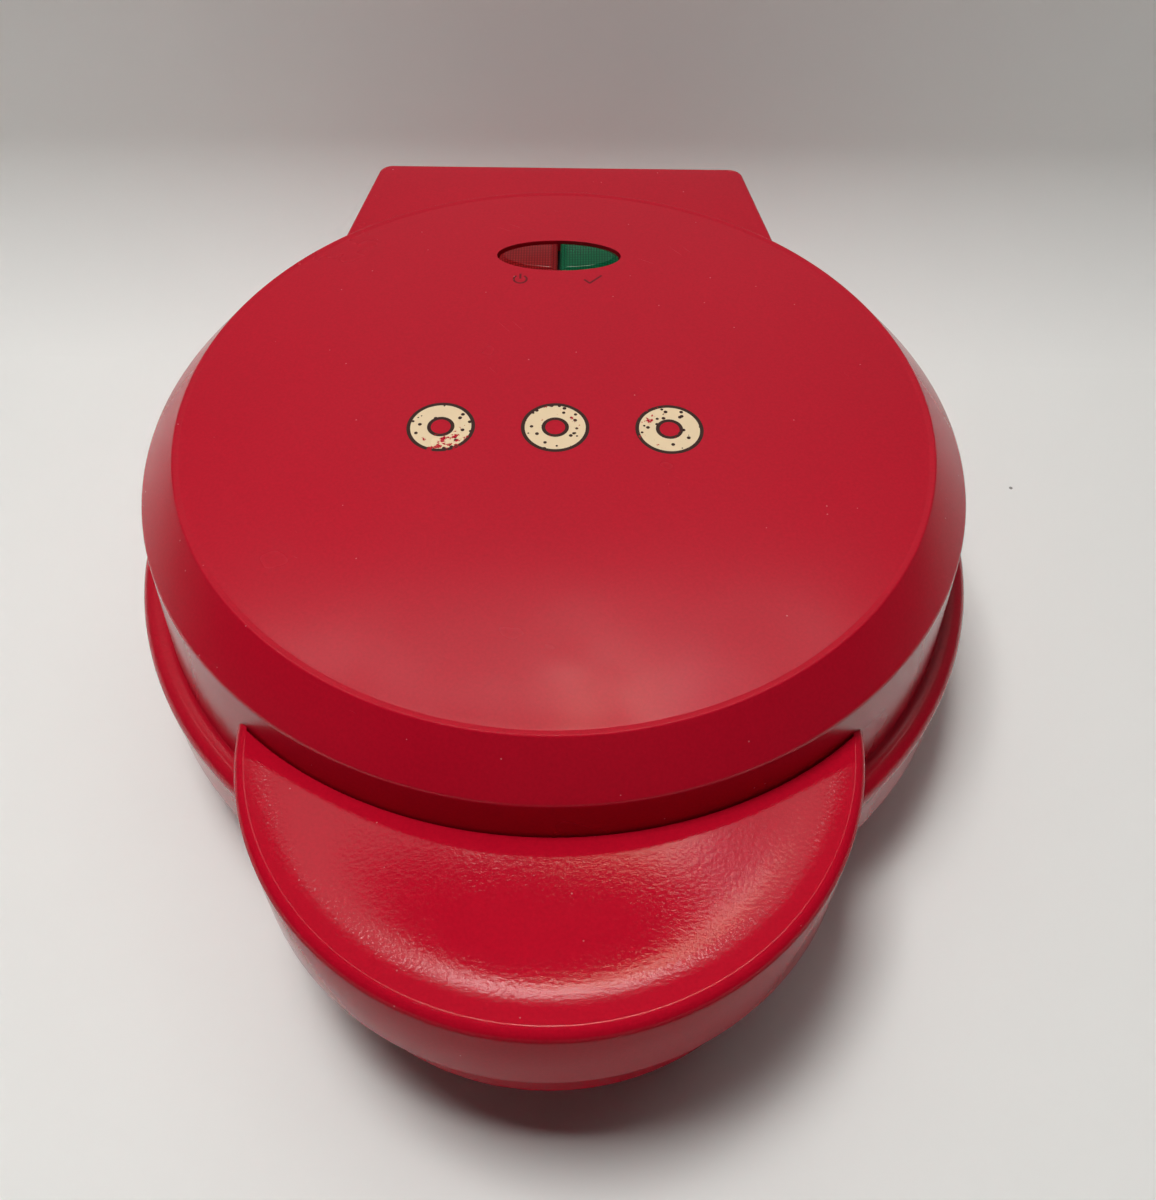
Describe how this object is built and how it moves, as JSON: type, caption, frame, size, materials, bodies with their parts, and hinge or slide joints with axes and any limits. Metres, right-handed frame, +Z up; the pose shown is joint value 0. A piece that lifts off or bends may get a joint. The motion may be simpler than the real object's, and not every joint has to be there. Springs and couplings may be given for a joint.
{
  "type": "donut maker",
  "caption": "Round red countertop donut maker with a hinged lid, half-disc handles and ring-shaped cooking cavities.",
  "frame": {"origin": "centre of the footprint on the surface it stands on", "axes": "+Z up, handles towards -Y, hinge towards +Y, +X to the right seen from the front"},
  "size_m": [0.24, 0.2802, 0.1003],
  "materials": {
    "red_plastic": "gloss",
    "black_plastic": "matte",
    "coated_aluminium": "satin",
    "bright_sheet": "satin",
    "zinc_steel": "satin",
    "element_steel": "matte",
    "black_rubber": "matte",
    "red_lens": "clear gloss",
    "green_lens": "clear gloss",
    "lamp_glass": "clear",
    "lead_sleeve": "matte",
    "ivory_ceramic": "matte"
  },
  "bodies": {
    "base": {"base_shell": "red_plastic", "base_handle": "red_plastic", "base_handle_cover": "red_plastic", "base_handle_screws": "zinc_steel", "lower_plate_frame": "black_plastic", "lower_cooking_plate": "coated_aluminium", "lower_heating_element": "element_steel", "lower_heat_reflector": "bright_sheet", "lower_plate_screws": "zinc_steel", "lower_frame_screws": "zinc_steel", "foot_front_left": "black_rubber", "foot_front_right": "black_rubber", "foot_rear_left": "black_rubber", "foot_rear_right": "black_rubber", "thermal_fuse": "ivory_ceramic", "fuse_clamp": "bright_sheet", "terminal_block": "ivory_ceramic", "terminal_screws": "zinc_steel", "base_leads": "lead_sleeve", "cord_bush": "black_rubber", "hinge_pin_left": "zinc_steel", "hinge_pin_right": "zinc_steel"},
    "lid": {"lid_shell": "red_plastic", "lid_handle": "red_plastic", "lid_handle_cover": "red_plastic", "lid_handle_screws": "zinc_steel", "lid_handle_cover_screws": "zinc_steel", "upper_plate_frame": "black_plastic", "upper_cooking_plate": "coated_aluminium", "upper_heating_element": "element_steel", "upper_heat_reflector": "bright_sheet", "upper_plate_screws": "zinc_steel", "upper_frame_screws": "zinc_steel", "thermostat": "ivory_ceramic", "thermostat_screws": "zinc_steel", "lamp_holder": "black_plastic", "lamp_holder_screws": "zinc_steel", "power_lamp": "lamp_glass", "ready_lamp": "lamp_glass", "power_lens": "red_lens", "ready_lens": "green_lens", "lid_leads": "lead_sleeve"}
  },
  "joints": [
    {"name": "lid_hinge", "type": "hinge", "parent": "base", "child": "lid", "pos_m": [0, 0.13, 0.052], "axis": [-1, 0, 0], "range_deg": [0, 95]}
  ]
}
